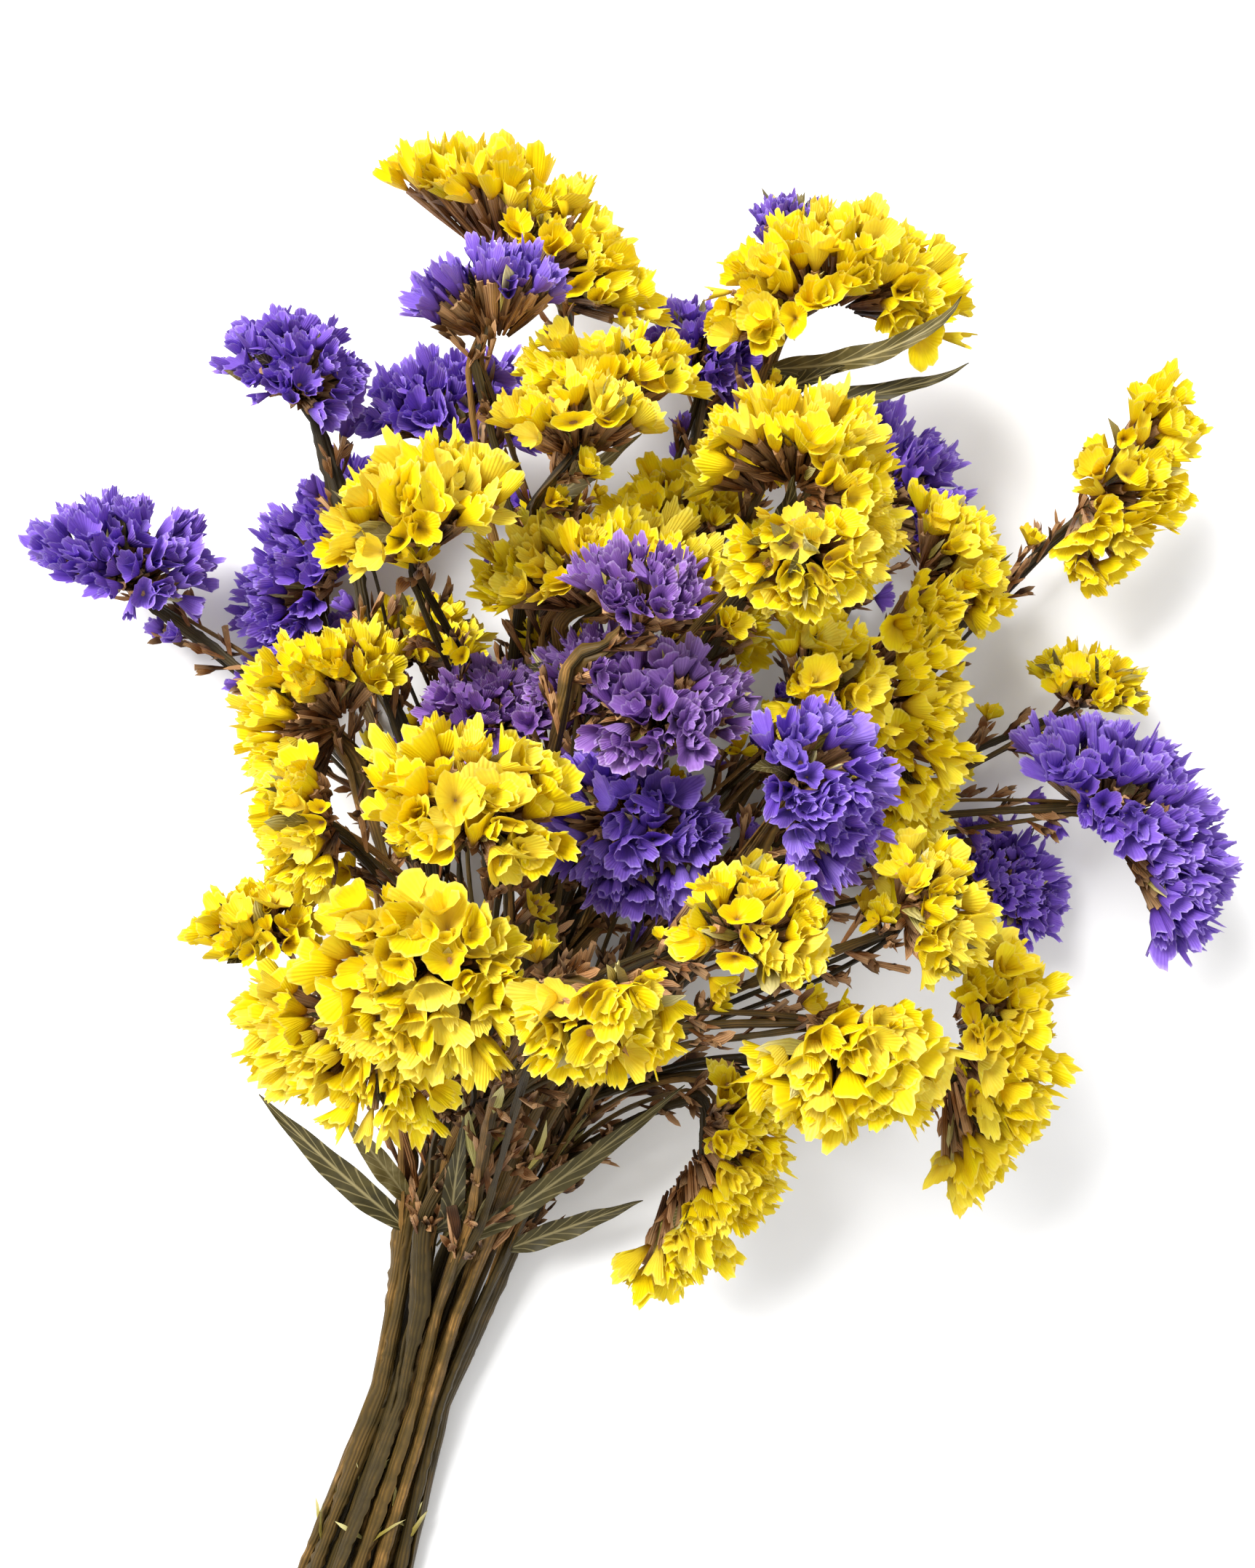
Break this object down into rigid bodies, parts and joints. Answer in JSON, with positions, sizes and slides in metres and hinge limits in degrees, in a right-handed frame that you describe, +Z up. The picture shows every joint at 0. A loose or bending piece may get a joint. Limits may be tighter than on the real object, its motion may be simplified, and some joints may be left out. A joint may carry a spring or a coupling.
{
  "type": "dried sea lavender bunch",
  "caption": "Bunch of dried sea lavender lying on its side: one-sided heads of yellow and purple papery calyces on brown tubes, with bare winged stems side by side.",
  "frame": {"origin": "middle of the bunch's footprint, on the surface that it lies on", "axes": "+Y from the cut ends to the flowers, +Z up, +X to the right when seen from above with the flowers away"},
  "size_m": [0.447, 0.576, 0.1944],
  "materials": {
    "yellow_calyces": "dry papery yellow calyces with pleats and ragged rims",
    "purple_calyces": "dry papery blue-violet calyces with darker veins",
    "stems": "dry olive-brown winged stems, rust-brown ribbed tubes and olive leaves"
  },
  "bodies": {
    "root": {"west_purple_stems": "stems", "west_purple_upper_left": "purple_calyces", "west_purple_far_left": "purple_calyces", "west_purple_left_side": "purple_calyces", "north_purple_stems": "stems", "north_purple_top_tuft": "purple_calyces", "north_purple_brush_pair": "purple_calyces", "north_purple_behind_brushes": "purple_calyces", "north_purple_top_shade": "purple_calyces", "centre_purple_stems": "stems", "centre_purple_fans": "purple_calyces", "centre_purple_shade": "purple_calyces", "centre_purple_left_dome": "purple_calyces", "centre_purple_middle": "purple_calyces", "front_purple_stems": "stems", "front_purple_ruffled": "purple_calyces", "front_purple_broad": "purple_calyces", "east_purple_stems": "stems", "east_purple_chain": "purple_calyces", "east_purple_far_right": "purple_calyces", "east_purple_low_right": "purple_calyces", "north_yellow_stems": "stems", "north_yellow_arch": "yellow_calyces", "north_yellow_pair": "yellow_calyces", "north_yellow_comb": "yellow_calyces", "northeast_yellow_stems": "stems", "northeast_yellow_crest": "yellow_calyces", "northeast_yellow_pale_cups": "yellow_calyces", "middle_yellow_stems": "stems", "middle_yellow_curl": "yellow_calyces", "middle_yellow_open_cup": "yellow_calyces", "middle_yellow_cushion": "yellow_calyces", "east_yellow_stems": "stems", "east_yellow_far_spike": "yellow_calyces", "east_yellow_side": "yellow_calyces", "east_yellow_low_spike": "yellow_calyces", "centre_yellow_stems": "stems", "centre_yellow_shaded": "yellow_calyces", "centre_yellow_slope": "yellow_calyces", "centre_yellow_ridge": "yellow_calyces", "left_yellow_stems": "stems", "left_yellow_hook": "yellow_calyces", "left_yellow_backing": "yellow_calyces", "left_yellow_sprig": "yellow_calyces", "front_left_yellow_stems": "stems", "front_left_yellow_upper_dome": "yellow_calyces", "front_left_yellow_shoulder": "yellow_calyces", "front_left_yellow_great_dome": "yellow_calyces", "front_left_yellow_lower_lip": "yellow_calyces", "front_yellow_stems": "stems", "front_yellow_lip": "yellow_calyces", "front_yellow_wing": "yellow_calyces", "front_yellow_bell": "yellow_calyces", "right_yellow_stems": "stems", "right_yellow_column": "yellow_calyces", "right_yellow_round": "yellow_calyces", "right_yellow_hanging": "yellow_calyces", "right_yellow_tail": "yellow_calyces"}
  },
  "joints": []
}
